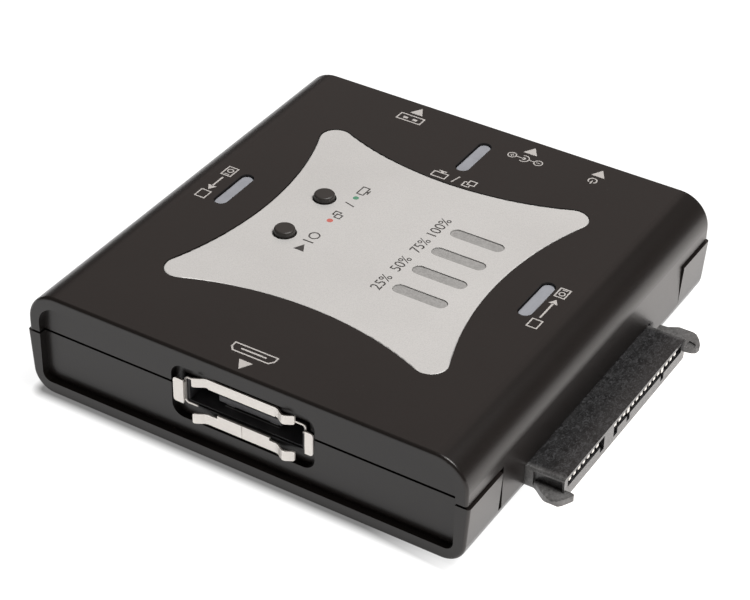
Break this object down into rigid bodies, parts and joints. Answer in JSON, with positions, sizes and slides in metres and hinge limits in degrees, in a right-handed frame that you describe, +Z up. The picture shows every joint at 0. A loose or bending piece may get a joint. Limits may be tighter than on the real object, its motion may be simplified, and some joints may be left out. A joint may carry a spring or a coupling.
{
  "type": "drive duplicator",
  "caption": "Flat pocket drive duplicator: dark moulded case with a silver top plate, drive sockets on two sides, host ports and buttons.",
  "frame": {"origin": "middle of the footprint, on the plane the rubber feet stand on", "axes": "+X from the source socket to the destination socket, +Y from the front port to the back ports, +Z up"},
  "size_m": [0.0816, 0.0684, 0.0173],
  "materials": {
    "upper_shell": "fine moulded grain, satin",
    "lower_shell": "fine moulded grain, satin",
    "label_plate": "speckled silver, satin",
    "button_caps": "satin",
    "lamp_windows": "milky, frosted",
    "progress_guide": "milky, frosted",
    "board_laminate": "solder mask over glass fibre",
    "socket_plastic": "glass-filled, mottled",
    "socket_contacts": "plated",
    "esata_shield": "tin plated",
    "esata_insulator": "moulded",
    "esata_contacts": "plated",
    "usb_shell": "tin plated",
    "usb_insulator": "moulded",
    "usb_contacts": "plated",
    "power_inlet_housing": "moulded",
    "power_inlet_pin": "nickel plated",
    "power_inlet_spring": "nickel plated",
    "power_switch_frame": "pressed",
    "power_switch_knob": "moulded",
    "power_switch_terminals": "tinned",
    "tact_cases": "moulded",
    "tact_covers": "pressed",
    "tact_terminals": "tinned",
    "tact_domes": "polished",
    "plungers": "moulded",
    "chip_resin": "moulded resin",
    "chip_leads": "tinned",
    "crystal_can": "drawn can",
    "inductors": "ferrite",
    "regulators": "moulded resin",
    "capacitor_cans": "drawn can",
    "ceramic_chips": "fired ceramic",
    "resistor_chips": "glazed",
    "status_leds": "clear epoxy",
    "progress_leds": "clear epoxy",
    "rubber_feet": "matt",
    "case_screws": "blackened"
  },
  "bodies": {
    "case": {"upper_shell": "upper_shell", "lower_shell": "lower_shell", "label_plate": "label_plate", "source_lamp_window": "lamp_windows", "destination_lamp_window": "lamp_windows", "mode_lamp_window": "lamp_windows", "progress_light_guide": "progress_guide", "main_board": "board_laminate", "destination_socket_housing": "socket_plastic", "source_socket_housing": "socket_plastic", "destination_socket_contacts": "socket_contacts", "source_socket_contacts": "socket_contacts", "esata_shield": "esata_shield", "esata_insulator": "esata_insulator", "esata_contacts": "esata_contacts", "usb_shell": "usb_shell", "usb_insulator": "usb_insulator", "usb_contacts": "usb_contacts", "power_inlet_housing": "power_inlet_housing", "power_inlet_pin": "power_inlet_pin", "power_inlet_spring": "power_inlet_spring", "power_switch_frame": "power_switch_frame", "power_switch_terminals": "power_switch_terminals", "tact_switch_cases": "tact_cases", "tact_switch_covers": "tact_covers", "tact_switch_terminals": "tact_terminals", "tact_switch_domes": "tact_domes", "controller_chip": "chip_resin", "usb_bridge_chip": "chip_resin", "memory_chip": "chip_resin", "controller_leads": "chip_leads", "usb_bridge_leads": "chip_leads", "memory_leads": "chip_leads", "crystal": "crystal_can", "power_inductors": "inductors", "voltage_regulators": "regulators", "electrolytic_capacitors": "capacitor_cans", "ceramic_capacitors": "ceramic_chips", "resistors": "resistor_chips", "status_leds": "status_leds", "progress_leds": "progress_leds", "rubber_feet": "rubber_feet", "case_screws": "case_screws"},
    "start_button": {"start_button": "button_caps", "start_switch_plunger": "plungers"},
    "mode_button": {"mode_button": "button_caps", "mode_switch_plunger": "plungers"},
    "power_switch_knob": {"power_switch_knob": "power_switch_knob"}
  },
  "joints": [
    {"name": "start_press", "type": "slide", "parent": "case", "child": "start_button", "axis": [0, 0, -1], "range_m": [0, 0.0003], "stiffness_N_per_m": 4000, "springref_m": -0.0001},
    {"name": "mode_press", "type": "slide", "parent": "case", "child": "mode_button", "axis": [0, 0, -1], "range_m": [0, 0.0003], "stiffness_N_per_m": 4000, "springref_m": -0.0001},
    {"name": "power_slide", "type": "slide", "parent": "case", "child": "power_switch_knob", "axis": [1, 0, 0], "range_m": [0, 0.002]}
  ]
}
